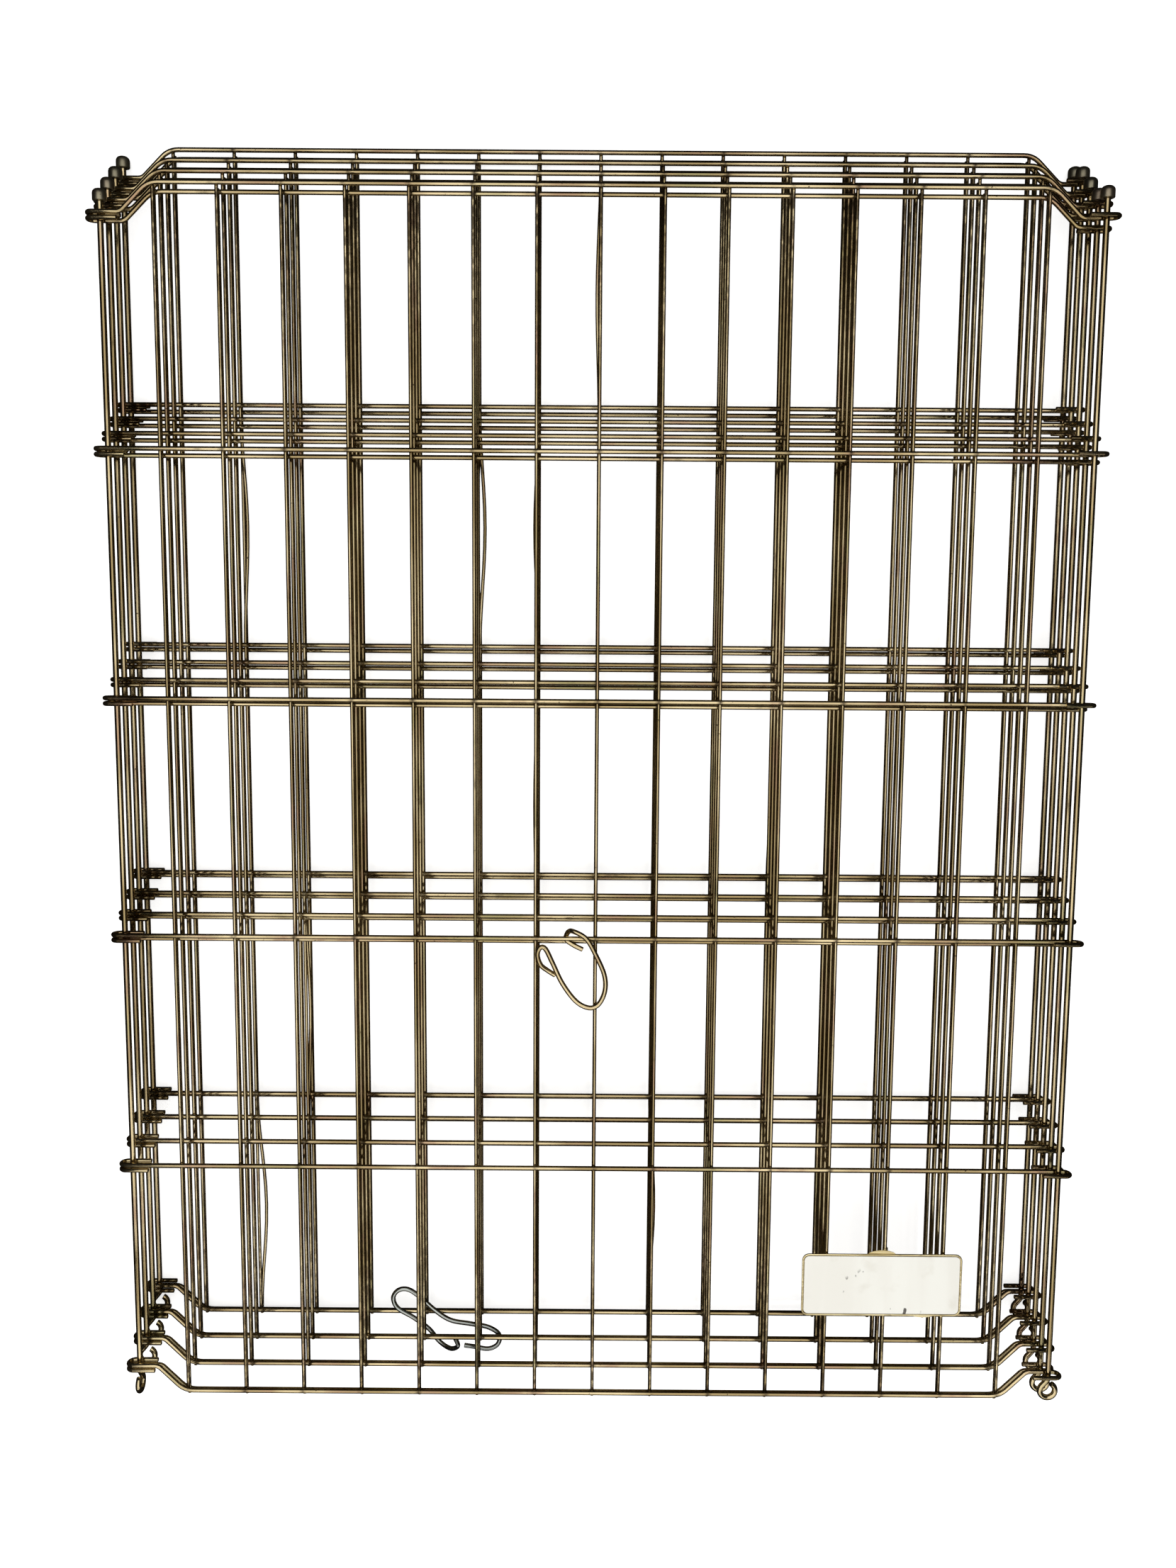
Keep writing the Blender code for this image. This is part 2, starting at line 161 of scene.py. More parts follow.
def stack_matrix():
    """From the stack's own space to the row frame, read off two of the frame's joints."""
    along = Vector(JOINTS["slide_spare_clip"]["axis"]).normalized()
    up = Vector((0.0, 1.0, 0.0))
    turn = Matrix((along, up, along.cross(up))).transposed()
    clip_hinge = Vector(JOINTS["swing_closing_clip"]["pos_m"])
    shift = clip_hinge - turn @ Vector((0.0, rail_y(CLIP_RAIL), panel_z(1)))
    return Matrix.Translation(shift) @ turn.to_4x4()


STACK = stack_matrix()


def panel_place(number):
    """Where a panel's own frame lies. Even panels are turned over about X."""
    place = STACK @ Matrix.Translation((0.0, panel_rise(number), panel_z(number)))
    return place if number % 2 else place @ Matrix.Rotation(math.pi, 4, "X")


def add_camera():
    """The photograph's viewpoint, fitted to the front panel's grid."""
    camera = bpy.data.objects.new("camera", bpy.data.cameras.new("camera"))
    camera.data.sensor_width = 36.0
    camera.data.lens = CAMERA_LENS
    camera.data.clip_start = 0.05
    camera.data.clip_end = 60.0
    camera.matrix_world = (
        STACK
        @ Matrix.Translation(CAMERA_PLACE)
        @ Matrix.Rotation(CAMERA_TILT, 4, "X")
        @ Matrix.Rotation(CAMERA_ROLL, 4, "Z")
    )
    bpy.context.scene.collection.objects.link(camera)
    bpy.context.scene.camera = camera


# Materials

class Finish:
    """One Principled material and short calls for the nodes that drive it."""

    def __init__(self, name, **constants):
        self.material = bpy.data.materials.new(name)
        self.material.use_nodes = True
        self.tree = self.material.node_tree
        self.shader = self.tree.nodes["Principled BSDF"]
        for socket, value in constants.items():
            self.shader.inputs[socket.replace("_", " ")].default_value = value
        self.place = self.tree.nodes.new("ShaderNodeTexCoord").outputs["Object"]

    def node(self, kind, **inputs):
        made = self.tree.nodes.new(kind)
        for socket, value in inputs.items():
            self.feed(made.inputs[socket.replace("_", " ")], value)
        return made

    def feed(self, socket, value):
        if isinstance(value, bpy.types.NodeSocket):
            self.tree.links.new(value, socket)
        else:
            socket.default_value = value

    def stretched(self, scale):
        return self.node("ShaderNodeMapping", Vector=self.place, Scale=scale).outputs["Vector"]

    def noise(self, scale, detail=2.0, place=None):
        spot = place or self.place
        return self.node("ShaderNodeTexNoise", Vector=spot, Scale=scale, Detail=detail).outputs["Fac"]

    def between(self, value, low, high, start=0.0, end=1.0):
        """The value's run from low to high, as a run from start to end."""
        made = self.node("ShaderNodeMapRange", Value=value)
        made.interpolation_type = "SMOOTHSTEP"
        for socket, number in (("From Min", low), ("From Max", high), ("To Min", start), ("To Max", end)):
            made.inputs[socket].default_value = number
        return made.outputs["Result"]

    def mix(self, factor, first, second):
        made = self.tree.nodes.new("ShaderNodeMix")
        made.data_type = "RGBA"
        sockets = [s for s in made.inputs if s.type == "RGBA"]
        self.feed(made.inputs["Factor"], factor)
        self.feed(sockets[0], first)
        self.feed(sockets[1], second)
        return next(s for s in made.outputs if s.type == "RGBA")

    def math(self, operation, first, second):
        made = self.tree.nodes.new("ShaderNodeMath")
        made.operation = operation
        made.use_clamp = True
        self.feed(made.inputs[0], first)
        self.feed(made.inputs[1], second)
        return made.outputs[0]

    def attribute(self, name):
        made = self.tree.nodes.new("ShaderNodeAttribute")
        made.attribute_name = name
        return made.outputs["Fac"]

    def bump(self, height, strength, distance):
        made = self.node("ShaderNodeBump", Height=height, Strength=strength, Distance=distance)
        self.feed(self.shader.inputs["Normal"], made.outputs["Normal"])

    def drive(self, socket, value):
        self.feed(self.shader.inputs[socket], value)


def zinc_finish(name, straw, olive, rose, green, stain, rough=(0.09, 0.17)):
    """Passivated zinc on drawn wire: slow drifts of colour, dull patches, specks and burnt welds."""
    finish = Finish(name, Metallic=1.0)
    drift = finish.between(finish.noise(14.0, 3.0), 0.38, 0.62)
    colour = finish.mix(drift, straw, olive)
    colour = finish.mix(finish.between(finish.noise(31.0, 3.0), 0.53, 0.70, 0.0, 0.75), colour, rose)
    colour = finish.mix(finish.between(finish.noise(23.0, 2.0), 0.56, 0.74, 0.0, 0.60), colour, green)
    speck = finish.between(finish.noise(520.0, 2.0), 0.70, 0.76, 0.0, 0.9)
    smear = finish.between(finish.noise(48.0, 4.0), 0.62, 0.76, 0.0, 0.5)
    burn = finish.math("MULTIPLY", finish.attribute("weld"), finish.between(finish.noise(160.0), 0.35, 0.6))
    dirt = finish.math("MAXIMUM", finish.math("MAXIMUM", speck, smear), burn)
    finish.drive("Base Color", finish.mix(dirt, colour, stain))
    polish = finish.between(finish.noise(60.0, 3.0), 0.35, 0.65, *rough)
    finish.drive("Roughness", finish.math("ADD", polish, finish.math("MULTIPLY", dirt, 0.25)))
    finish.bump(finish.noise(700.0, 2.0), 0.08, 0.00005)
    return finish.material


def gold_finish():
    return zinc_finish(
        "gold_zinc",
        straw=(0.68, 0.56, 0.34, 1),
        olive=(0.34, 0.255, 0.125, 1),
        rose=(0.38, 0.24, 0.16, 1),
        green=(0.32, 0.30, 0.145, 1),
        stain=(0.055, 0.036, 0.022, 1),
    )


def cap_finish():
    return zinc_finish(
        "dull_zinc_cap",
        straw=(0.34, 0.31, 0.22, 1),
        olive=(0.24, 0.22, 0.16, 1),
        rose=(0.30, 0.23, 0.18, 1),
        green=(0.22, 0.24, 0.17, 1),
        stain=(0.060, 0.050, 0.040, 1),
        rough=(0.30, 0.46),
    )


def bright_finish():
    return zinc_finish(
        "bright_zinc",
        straw=(0.42, 0.44, 0.42, 1),
        olive=(0.30, 0.32, 0.31, 1),
        rose=(0.33, 0.31, 0.29, 1),
        green=(0.28, 0.32, 0.31, 1),
        stain=(0.10, 0.10, 0.10, 1),
    )


def brass_finish():
    """Thin pressed sheet with a brushed grain and a worn rim."""
    finish = Finish("label_brass", Metallic=1.0)
    grain = finish.noise(60.0, 5.0, finish.stretched((1.0, 14.0, 1.0)))
    colour = finish.mix(finish.between(grain, 0.35, 0.65), (0.78, 0.68, 0.42, 1), (0.62, 0.51, 0.27, 1))
    tarnish = finish.between(finish.noise(110.0, 4.0), 0.55, 0.72, 0.0, 0.7)
    finish.drive("Base Color", finish.mix(tarnish, colour, (0.30, 0.23, 0.12, 1)))
    finish.drive("Roughness", finish.between(grain, 0.3, 0.7, 0.24, 0.42))
    finish.bump(grain, 0.2, 0.0001)
    return finish.material


def card_finish():
    """Glossy off-white card, left blank: faint bands, handling dirt and a few scuffs."""
    finish = Finish("label_card", Coat_Weight=0.25, Coat_Roughness=0.18)
    band = finish.noise(30.0, 3.0, finish.stretched((1.6, 0.25, 1.0)))
    paper = finish.mix(finish.between(band, 0.35, 0.65), (0.90, 0.90, 0.845, 1), (0.86, 0.85, 0.79, 1))
    grime = finish.between(finish.noise(70.0, 5.0), 0.58, 0.78, 0.0, 0.30)
    paper = finish.mix(grime, paper, (0.66, 0.63, 0.54, 1))
    worn = finish.between(finish.noise(36.0, 1.0), 0.60, 0.66)
    scratch = finish.between(finish.noise(240.0, 2.0, finish.stretched((1.0, 0.45, 1.0))), 0.66, 0.69)
    scuff = finish.math("MULTIPLY", worn, scratch)
    finish.drive("Base Color", finish.mix(scuff, paper, (0.10, 0.09, 0.08, 1)))
    finish.drive("Roughness", finish.between(band, 0.3, 0.7, 0.34, 0.48))
    finish.bump(finish.noise(150.0, 3.0), 0.12, 0.0002)
    return finish.material


# Wires

def rounded(points, tangents, steps=6):
    """The same path with each inner corner replaced by a smooth bend."""
    points = [Vector(p) for p in points]
    path = [points[0]]
    for before, corner, after, tangent in zip(points, points[1:], points[2:], tangents):
        start = corner + (before - corner).normalized() * tangent
        end = corner + (after - corner).normalized() * tangent
        for step in range(steps + 1):
            t = step / steps
            path.append(start * (1 - t) ** 2 + corner * 2 * t * (1 - t) + end * t**2)
    return [*path, points[-1]]


def smooth_path(points, steps):
    """A Catmull-Rom curve through given points."""
    points = [Vector(p) for p in points]
    ends = [2 * points[0] - points[1], *points, 2 * points[-1] - points[-2]]
    path = []
    for a, b, c, d in zip(ends, ends[1:], ends[2:], ends[3:]):
        for step in range(steps):
            t = step / steps
            path.append(
                (2 * b + (c - a) * t + (2 * a - 5 * b + 4 * c - d) * t**2
                 + (3 * b - a - 3 * c + d) * t**3) / 2
            )
    return [*path, points[-1]]


def wires(name, runs):
    """A mesh of round wires. Each run is a path and a radius, and its cut ends are chamfered."""
    curve = bpy.data.curves.new(name, "CURVE")
    curve.dimensions = "3D"
    curve.twist_mode = "MINIMUM"
    curve.bevel_depth = 1.0
    curve.bevel_resolution = WIRE_BEVEL
    curve.use_fill_caps = True
    for path, radius in runs:
        path = [Vector(p) for p in path]
        chamfer = CHAMFER * radius
        first = path[0] + (path[1] - path[0]).normalized() * chamfer
        last = path[-1] + (path[-2] - path[-1]).normalized() * chamfer
        places = [path[0], first, *path[1:-1], last, path[-1]]
        spline = curve.splines.new("POLY")
        spline.points.add(len(places) - 1)
        for index, (point, place) in enumerate(zip(spline.points, places)):
            point.co = (*place, 1.0)
            point.radius = radius * (CHAMFER_END if index in (0, len(places) - 1) else 1.0)
    obj = bpy.data.objects.new(name, curve)
    bpy.context.scene.collection.objects.link(obj)
    graph = bpy.context.evaluated_depsgraph_get()
    mesh = bpy.data.meshes.new_from_object(obj.evaluated_get(graph))
    bpy.data.objects.remove(obj)
    return mesh


def add_piece(name, mesh, body, nodes, material):
    """One visible piece, in the row frame, standing for its CAD nodes."""
    mesh.shade_smooth()
    mesh.set_sharp_from_angle(angle=SHARP_ANGLE)
    mesh.materials.clear()
    mesh.materials.append(material)
    piece = bpy.data.objects.new(name, mesh)
    bpy.context.scene.collection.objects.link(piece)
    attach(piece, body)
    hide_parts(*nodes)
    return piece


# Panels

BOWS = {  # (panel, upright): the rail below the bent bay, and how far it goes sideways in mm
    (8, 8): (4, 3.6), (7, 5): (3, 3.4), (7, 6): (3, -2.6), (5, 7): (4, -1.8), (8, 1): (4, 4.6),
    (6, 2): (3, 2.2), (8, 10): (2, 1.6), (7, 1): (3, 3.0), (4, 6): (2, -1.2), (8, 5): (1, -2.2),
}


def rail_crossings():
    """Places along a rail at and beside each of its welds, clear of the end bends."""
    places = []
    for index in range(UPRIGHT_COUNT):
        x = upright_x(index)
        places += [x - WELD_REACH, x, x + WELD_REACH]
    return [x for x in places if abs(x) < END_BEND_X - BEND_TANGENT]


def loop_end(side, y):
    """The hairpin round a rod, from the rail outwards and back to its tip."""
    steps = 14
    points = []
    for step in range(steps + 1):
        angle = math.radians(-90 + 180 * step / steps)
        out = ROD_X + LOOP_REACH + LOOP_OFFSET * math.cos(angle)
        points.append((side * out, y, side * LOOP_OFFSET * (1 + math.sin(angle))))
    return [*points, (side * (ROD_X - LOOP_RETURN), y, side * 2 * LOOP_OFFSET)]


def rail_path(index):
    """A rail between its two loops. The first and last rails bend inwards at both ends."""
    y = rail_y(index)
    inward = -math.copysign(END_DROP, y) if index in (0, len(RAIL_HEIGHTS) - 1) else 0.0
    ends = []
    for side in (-1, 1):
        loop = loop_end(side, y + inward)
        if inward:
            corners = [
                (side * upright_x(UPRIGHT_COUNT - 1), y, 0.0),
                (side * END_BEND_X, y, 0.0),
                (side * (END_BEND_X + END_DROP), y + inward, 0.0),
                loop[0],
            ]
            loop = [*rounded(corners, (BEND_TANGENT, LOOP_TANGENT))[1:-1], *loop]
        ends.append(loop)
    middle = [(x, y, 0.0) for x in rail_crossings()]
    return [*reversed(ends[0]), *middle, *ends[1]]


def upright_path(number, index):
    """An upright from foot to top, with the knocks that this panel has taken."""
    x = upright_x(index)
    bay, bow = BOWS.get((number, index), (None, 0.0))
    places = [(x, -PANEL_HEIGHT / 2 - UPRIGHT_OVERHANG, UPRIGHT_Z)]
    for rail in range(len(RAIL_HEIGHTS)):
        y = rail_y(rail)
        near = [y] if rail in (0, len(RAIL_HEIGHTS) - 1) else [y - WELD_REACH, y, y + WELD_REACH]
        places += [(x, place, UPRIGHT_Z) for place in near]
        if rail == bay:
            gap = RAIL_HEIGHTS[rail + 1] - RAIL_HEIGHTS[rail]
            steps = 12
            for step in range(1, steps):
                t = step / steps
                aside = bow * MM * math.sin(math.pi * t) ** 2
                places.append((x + aside, y + gap * t, UPRIGHT_Z))
    return [*places, (x, PANEL_HEIGHT / 2 + UPRIGHT_OVERHANG, UPRIGHT_Z)]


def add_welds(bm):
    """A small nugget in the crook of each crossing."""
    centre_z = -(RAIL_RADIUS - WELD_DEPTH / 2)
    shape = Matrix.Diagonal((*WELD_NUGGET, 1.0))
    for rail in range(len(RAIL_HEIGHTS)):
        for index in range(UPRIGHT_COUNT):
            place = Matrix.Translation((upright_x(index), rail_y(rail), centre_z))
            bmesh.ops.create_icosphere(bm, subdivisions=2, radius=1.0, matrix=place @ shape)


def mark_welds(mesh):
    """Stores how close each point is to a weld, for the burnt colour."""
    heat = mesh.attributes.new("weld", "FLOAT", "POINT")
    rails = [rail_y(i) for i in range(len(RAIL_HEIGHTS))]
    middle = (UPRIGHT_COUNT - 1) / 2
    values = []
    for vertex in mesh.vertices:
        x, y, _ = vertex.co
        column = min(max(round(x / UPRIGHT_PITCH + middle), 0), UPRIGHT_COUNT - 1)
        away = math.hypot(x - upright_x(column), min(abs(y - rail) for rail in rails))
        values.append(max(0.0, 1.0 - away / WELD_REACH))
    heat.data.foreach_set("value", values)


def panel_mesh(number):
    runs = [(rail_path(i), RAIL_RADIUS) for i in range(len(RAIL_HEIGHTS))]
    runs += [(upright_path(number, i), UPRIGHT_RADIUS) for i in range(UPRIGHT_COUNT)]
    mesh = wires(f"panel_{number}_wires", runs)
    bm = bmesh.new()
    bm.from_mesh(mesh)
    add_welds(bm)
    bm.to_mesh(mesh)
    bm.free()
    mark_welds(mesh)
    mesh.transform(panel_place(number))
    return mesh


def add_panels(gold):
    for number in range(1, PANEL_COUNT + 1):
        node = f"panel_{number}"
        add_piece(f"panel_{number}_grid", panel_mesh(number), node, [node], gold)


# Rods

def rod_line(side, order):
    """The panels that a rod holds, and its place in the stack."""
    if side == "left":
        held = (2 * order - 1, 2 * order)
    else:
        held = tuple(n for n in (2 * order - 2, 2 * order - 1) if 1 <= n <= PANEL_COUNT)
    if order == PANEL_COUNT // 2 + 1:
        z = panel_z(PANEL_COUNT) - LOOP_OFFSET
    elif side == "right":
        z = panel_z(2 * order - 1) + LOOP_OFFSET
    else:
        z = panel_z(2 * order) + LOOP_OFFSET
    return held, (-ROD_X if side == "left" else ROD_X), z


def rod_path(foot, top, flat):
    """The shank, the jog under the lowest loop, and the open ring."""
    centre = foot - EYE_NECK - EYE_RADIUS
    neck_top = Vector((0.0, foot))
    ring_start = Vector((EYE_RADIUS * math.cos(EYE_START), centre + EYE_RADIUS * math.sin(EYE_START)))
    turn = Vector((0.0, ring_start.y - ring_start.x / math.tan(EYE_START - math.pi / 2)))
    line = [Vector((0.0, top))]
    neck_steps = 6
    for step in range(neck_steps + 1):
        t = step / neck_steps
        line.append(neck_top * (1 - t) ** 2 + turn * 2 * t * (1 - t) + ring_start * t**2)
    ring_steps = 36
    for step in range(1, ring_steps + 1):
        angle = EYE_START + (EYE_END - EYE_START) * step / ring_steps
        line.append(Vector((EYE_RADIUS * math.cos(angle), centre + EYE_RADIUS * math.sin(angle))))
    return [(p.x, p.y, 0.0) if flat else (0.0, p.y, p.x) for p in line]


CAP_PROFILE = [  # radius and height in mm, from the bore's floor to its mouth and round to the crown
    (0.0, 4.8), (2.25, 4.8), (2.25, 0.0), (3.7, 0.0), (4.1, 0.15), (4.3, 0.6), (4.3, 4.1),
    (4.2, 4.9), (3.9, 5.7), (3.4, 6.3), (2.8, 6.75), (2.0, 7.08), (1.0, 7.26), (0.0, 7.3),
]


def cap_mesh(name):
    """A pressed cap with a rounded shoulder, turned about its axis along +Y."""
    bm = bmesh.new()
    line = [bm.verts.new((r * MM, h * MM, 0.0)) for r, h in CAP_PROFILE]
    edges = [bm.edges.new(pair) for pair in zip(line, line[1:])]
    bmesh.ops.spin(
        bm, geom=[*line, *edges], cent=(0, 0, 0), axis=(0, 1, 0), angle=2 * math.pi, steps=28
    )
    bmesh.ops.remove_doubles(bm, verts=bm.verts, dist=0.00001)
    bmesh.ops.recalc_face_normals(bm, faces=bm.faces)
    mesh = bpy.data.meshes.new(name)
    bm.to_mesh(mesh)
    bm.free()
    return mesh


def add_rods(gold, dull):
    outer = PANEL_HEIGHT / 2 - END_DROP + RAIL_RADIUS
    for side, count in (("left", LEFT_RODS), ("right", RIGHT_RODS)):
        for order in range(1, count + 1):
            held, x, z = rod_line(side, order)
            low = min(panel_rise(n) for n in held) - outer
            foot = low - (LOW_FOOT_GAP if side == "right" and order in LOW_EYES else FOOT_GAP)
            cap_y = low + (LONG_CAP_REACH if side == "right" and len(held) == 2 else CAP_REACH)
            top = cap_y + CAP_BORE_DEPTH - 2 * FIT_GAP - MM
            path = rod_path(foot, top, flat=(side, order) != ("left", 1))
            place = STACK @ Matrix.Translation((x, 0.0, z))
            body = f"rod_{side}_{order}"
            rod = wires(body, [(path, ROD_RADIUS)])
            rod.transform(place)
            add_piece(f"hinge_rod_{side}_{order}", rod, body, [body], gold)
            cap_node = f"rod_cap_{side}_{order}"
            cap = cap_mesh(cap_node)
            cap.transform(place @ Matrix.Translation((0.0, cap_y, 0.0)))
            add_piece(f"pressed_cap_{side}_{order}", cap, body, [cap_node], dull)


# Clips: x along the rail, y up the panel, z to the front, from the rail's centre, in mm

FRONT_CLIP = [
    (-8.0, -7.9, -3.6), (-13.9, -5.0, -3.6), (-18.6, -1.2, -3.3), (-17.4, 3.8, -1.6),
    (-14.0, 5.0, 1.4), (-5.7, 0.6, 3.5), (0.6, -10.5, 2.9), (5.8, -23.0, 1.9), (6.2, -33.5, 1.3),
    (2.4, -42.0, 1.2), (-3.6, -44.6, 1.2), (-12.0, -40.4, 1.2), (-20.7, -28.9, 1.3),
    (-27.2, -15.2, 1.4), (-31.6, -6.4, 1.3), (-35.0, -5.8, 1.1), (-36.6, -10.5, 1.0),
    (-34.6, -17.0, 0.4), (-30.0, -21.2, -1.2), (-25.4, -24.4, -2.2),
]
REAR_CLIP = [
    (4.6, 0.6, 3.5), (6.4, -5.2, 3.3), (1.0, -8.6, 0.4), (-7.0, -5.4, -3.2), (-14.0, 3.2, -3.75),
    (-24.6, 11.4, -3.75), (-35.4, 18.2, -3.75), (-38.4, 25.6, -3.75), (-35.0, 31.0, -3.75),
    (-28.4, 31.8, -3.75), (-20.6, 26.8, -3.75), (-10.6, 17.4, -3.75), (0.6, 9.8, -3.75),
    (14.4, 7.2, -3.75), (26.6, 4.8, -3.75), (34.0, -0.2, -3.5), (33.4, -6.2, -1.6),
    (27.0, -8.6, 0.4), (17.6, -6.6, 1.4), (10.6, -5.4, 1.8),
]


def add_clip(name, node, points, panel, x, y, material):
    mesh = wires(name, [(smooth_path([[v * MM for v in p] for p in points], 7), CLIP_RADIUS)])
    mesh.transform(STACK @ Matrix.Translation((x, panel_rise(panel) + y, panel_z(panel))))
    add_piece(name, mesh, node, [node], material)


# Label

def rounded_outline(width, height, corner, steps=6):
    points = []
    for quarter, (sx, sy) in enumerate(((1, 1), (-1, 1), (-1, -1), (1, -1))):
        for step in range(steps + 1):
            angle = math.radians(90 * quarter + 90 * step / steps)
            points.append((
                sx * (width / 2 - corner) + corner * math.cos(angle),
                sy * (height / 2 - corner) + corner * math.sin(angle),
            ))
    return points


def pressed_plate(name, profile):
    """A closed plate whose edge follows a profile of insets and heights, from below to above."""
    bm = bmesh.new()
    loops = []
    for inset, height in profile:
        outline = rounded_outline(
            LABEL_SIZE[0] - 2 * inset, LABEL_SIZE[1] - 2 * inset, max(LABEL_CORNER - inset, 0.0008)
        )
        loops.append([bm.verts.new((x, y, height)) for x, y in outline])
    count = len(loops[0])
    for low, high in zip(loops, loops[1:]):
        for i in range(count):
            j = (i + 1) % count
            bm.faces.new((low[i], low[j], high[j], high[i]))
    bm.faces.new(list(reversed(loops[0])))
    bm.faces.new(loops[-1])
    bmesh.ops.recalc_face_normals(bm, faces=bm.faces)
    mesh = bpy.data.meshes.new(name)
    bm.to_mesh(mesh)
    bm.free()
    return mesh


def add_lip(bm, left, right, outward, rise):
    """A shallow tongue of sheet that bulges past one long edge of the tray."""
    edge = outward * LABEL_SIZE[1] / 2
    root = edge - outward * MM
    steps = 14
    rows = []
    for height in (0.05 * MM, 0.45 * MM):
        row = [bm.verts.new((left, root, height))]
        for step in range(steps + 1):
            t = step / steps
            out = edge + outward * rise * max(math.sin(math.pi * t), 0.0) ** 0.6
            row.append(bm.verts.new((left + (right - left) * t, out, height)))
        row.append(bm.verts.new((right, root, height)))
        rows.append(row)
    for i in range(-1, len(rows[0]) - 1):
        bm.faces.new((rows[0][i], rows[0][i + 1], rows[1][i + 1], rows[1][i]))
    bm.faces.new(rows[0])
    bm.faces.new(rows[1])


def add_label(brass, card_stock):
    tray_z = UPRIGHT_Z + UPRIGHT_RADIUS + 2 * FIT_GAP + TAB_THICK
    centre = (LABEL_CENTRE[0], LABEL_CENTRE[1] - PANEL_HEIGHT / 2, tray_z)
    place = panel_place(1) @ Matrix.Translation(centre)
    rim = LABEL_RIM
    tray = pressed_plate("tray", [
        (0.35 * MM, 0.0), (0.10 * MM, 0.12 * MM), (0.0, 0.4 * MM), (0.0, 1.0 * MM),
        (0.12 * MM, 1.28 * MM), (0.38 * MM, 1.4 * MM), (rim - 0.35 * MM, 1.4 * MM),
        (rim - 0.1 * MM, 1.25 * MM), (rim, 0.95 * MM), (rim, LABEL_FLOOR),
    ])
    bm = bmesh.new()
    bm.from_mesh(tray)
    for lip in LIPS:
        add_lip(bm, *lip)
    bmesh.ops.recalc_face_normals(bm, faces=bm.faces)
    bm.to_mesh(tray)
    bm.free()
    tray.transform(place)
    add_piece("label_tray", tray, "panel_1", ["label_plate"], brass)
    edge = rim + FIT_GAP
    card = pressed_plate("card", [
        (edge + 0.1 * MM, 0.0), (edge, 0.08 * MM), (edge, 0.38 * MM), (edge + 0.12 * MM, 0.5 * MM),
    ])
    card.transform(place @ Matrix.Translation((0.0, 0.0, LABEL_FLOOR + FIT_GAP)))
    add_piece("label_blank_card", card, "panel_1", ["label_card"], card_stock)
    for node in ("label_tab_upper", "label_tab_lower"):
        mesh = frame["nodes"][node].data
        mesh.materials.clear()
        mesh.materials.append(brass)


# Stage

def studio_surface(name, seen, mirrored, glow):
    """A pale surface, lit a little from within. The metal sees it darker, as it would a dim room."""
    material = bpy.data.materials.new(name)
    material.use_nodes = True
    tree = material.node_tree
    tree.nodes.clear()
    out = tree.nodes.new("ShaderNodeOutputMaterial")
    mix = tree.nodes.new("ShaderNodeMixShader")
    light_path = tree.nodes.new("ShaderNodeLightPath")
    shaders = []
    for colour in (seen, mirrored):
        shader = tree.nodes.new("ShaderNodeBsdfDiffuse")
        shader.inputs["Color"].default_value = (*colour, 1.0)
        shaders.append(shader.outputs[0])
    tree.links.new(light_path.outputs["Is Glossy Ray"], mix.inputs[0])
    lit = tree.nodes.new("ShaderNodeAddShader")
    lamp = tree.nodes.new("ShaderNodeEmission")
    lamp.inputs["Strength"].default_value = glow
    tree.links.new(shaders[0], lit.inputs[0])
    tree.links.new(lamp.outputs[0], lit.inputs[1])
    tree.links.new(lit.outputs[0], mix.inputs[1])
    tree.links.new(shaders[1], mix.inputs[2])
    tree.links.new(mix.outputs[0], out.inputs[0])
    return material


def add_stage():
    bpy.ops.mesh.primitive_plane_add(size=FLOOR_SIZE, location=(0.0, 0.0, CAD_BOX[0].z))
    floor = bpy.context.object
    floor.name = "studio_floor"
    pale = studio_surface("studio_floor", FLOOR_SEEN, FLOOR_MIRRORED, FLOOR_GLOW)
    floor.data.materials.append(pale)


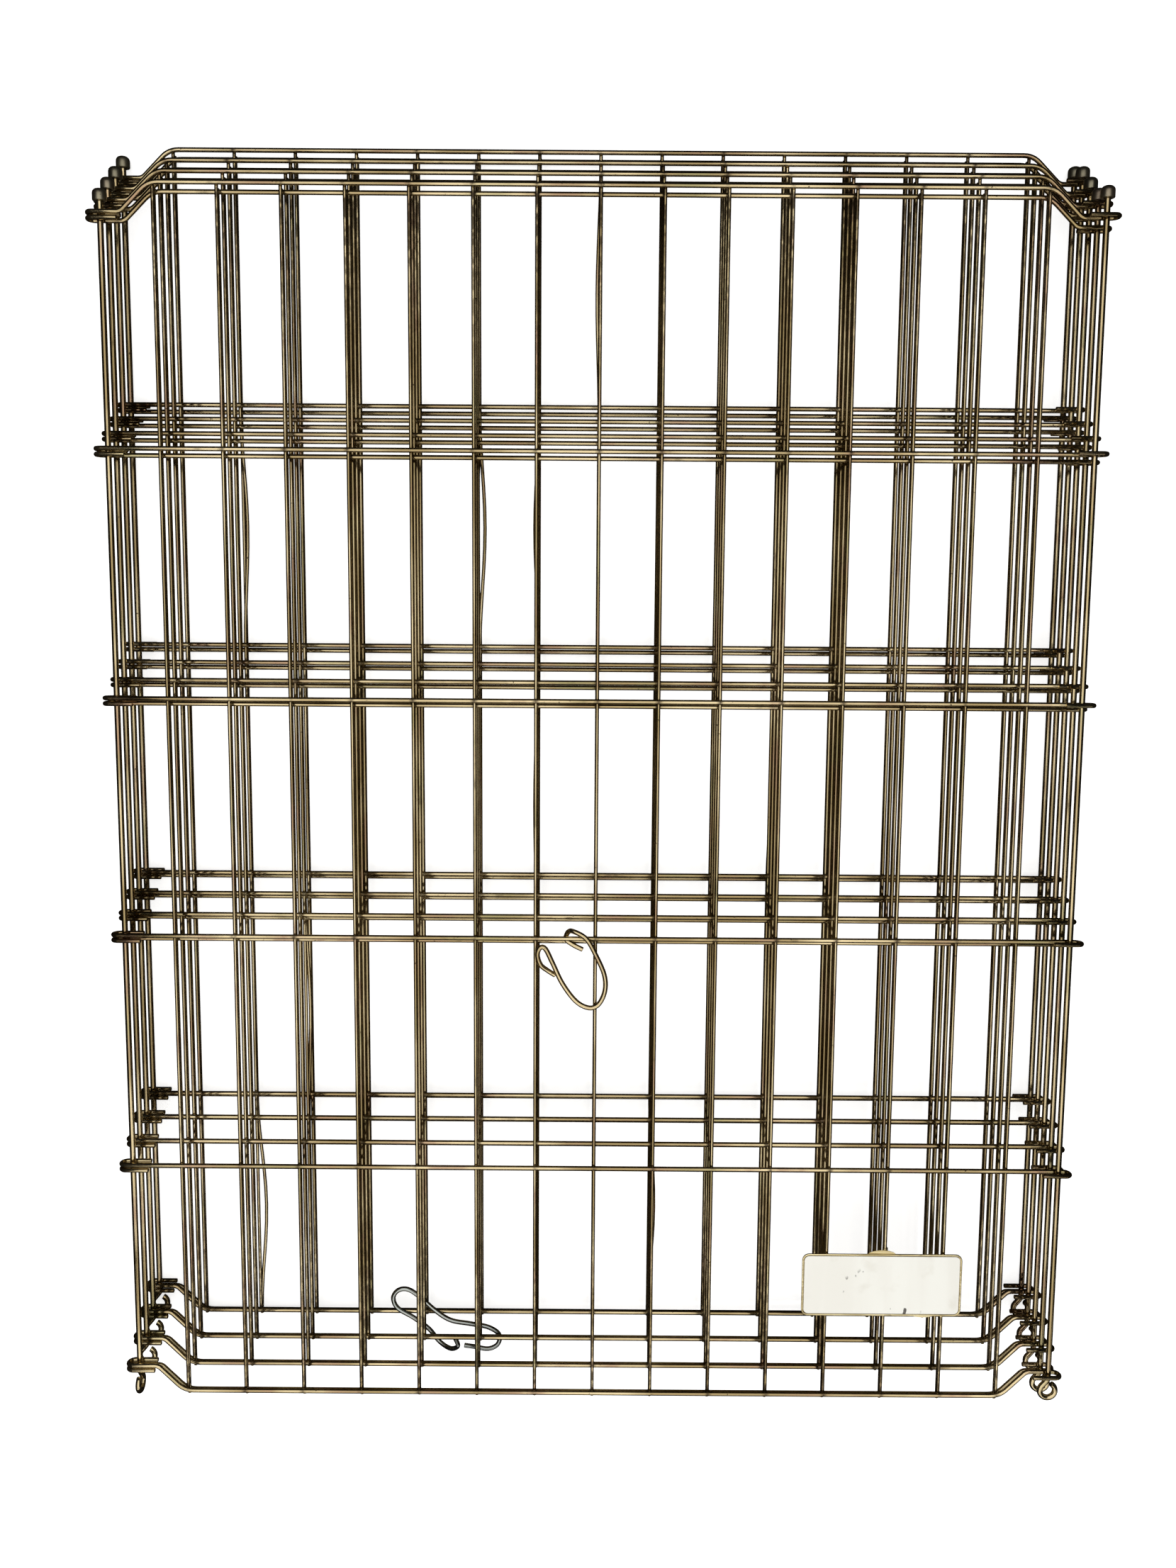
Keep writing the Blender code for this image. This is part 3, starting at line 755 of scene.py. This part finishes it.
def add_room():
    """White surroundings that a shiny surface mirrors as a dim room."""
    world = bpy.data.worlds.new("studio")
    bpy.context.scene.world = world
    world.use_nodes = True
    tree = world.node_tree
    background = tree.nodes["Background"]
    light_path = tree.nodes.new("ShaderNodeLightPath")
    dim = tree.nodes.new("ShaderNodeMapRange")
    dim.inputs["To Min"].default_value = ROOM_SEEN
    dim.inputs["To Max"].default_value = ROOM_MIRRORED
    tree.links.new(light_path.outputs["Is Glossy Ray"], dim.inputs["Value"])
    horizon = tree.nodes.new("ShaderNodeMath")
    horizon.operation = "MULTIPLY_ADD"
    horizon.inputs[1].default_value = HORIZON_LIFT
    tree.links.new(light_path.outputs["Is Camera Ray"], horizon.inputs[0])
    tree.links.new(dim.outputs[0], horizon.inputs[2])
    tree.links.new(horizon.outputs[0], background.inputs["Strength"])
    background.inputs["Color"].default_value = (1.0, 1.0, 1.0, 1.0)


def add_softbox(name, place, tilt, width, depth, radiance):
    """An area light, tilted in degrees about X, set by how bright it looks in a reflection."""
    lamp = bpy.data.lights.new(name, "AREA")
    lamp.shape = "RECTANGLE"
    lamp.size = width
    lamp.size_y = depth
    lamp.energy = radiance * math.pi * width * depth
    lamp.color = LAMP_COLOUR
    light = bpy.data.objects.new(name, lamp)
    light.location = place
    light.rotation_euler = (math.radians(tilt), 0.0, 0.0)
    bpy.context.scene.collection.objects.link(light)


def add_lights():
    add_softbox("overhead", (-0.05, -0.15, 1.05), tilt=0.0, width=1.30, depth=1.9, radiance=1.30)
    add_softbox("near", (0.40, -1.35, 1.00), tilt=50.0, width=2.6, depth=0.26, radiance=1.7)


bpy.context.scene.view_settings.view_transform = "Standard"
add_camera()
gold_zinc = gold_finish()
add_panels(gold_zinc)
add_rods(gold_zinc, cap_finish())
add_clip(
    "closing_clip_wire", "closing_clip", FRONT_CLIP, 1, 0.0, rail_y(CLIP_RAIL), gold_zinc
)
add_clip(
    "spare_clip_wire", "spare_clip", REAR_CLIP, 6, REAR_CLIP_X, rail_y(0), bright_finish()
)
add_label(brass_finish(), card_finish())
add_stage()
add_room()
add_lights()
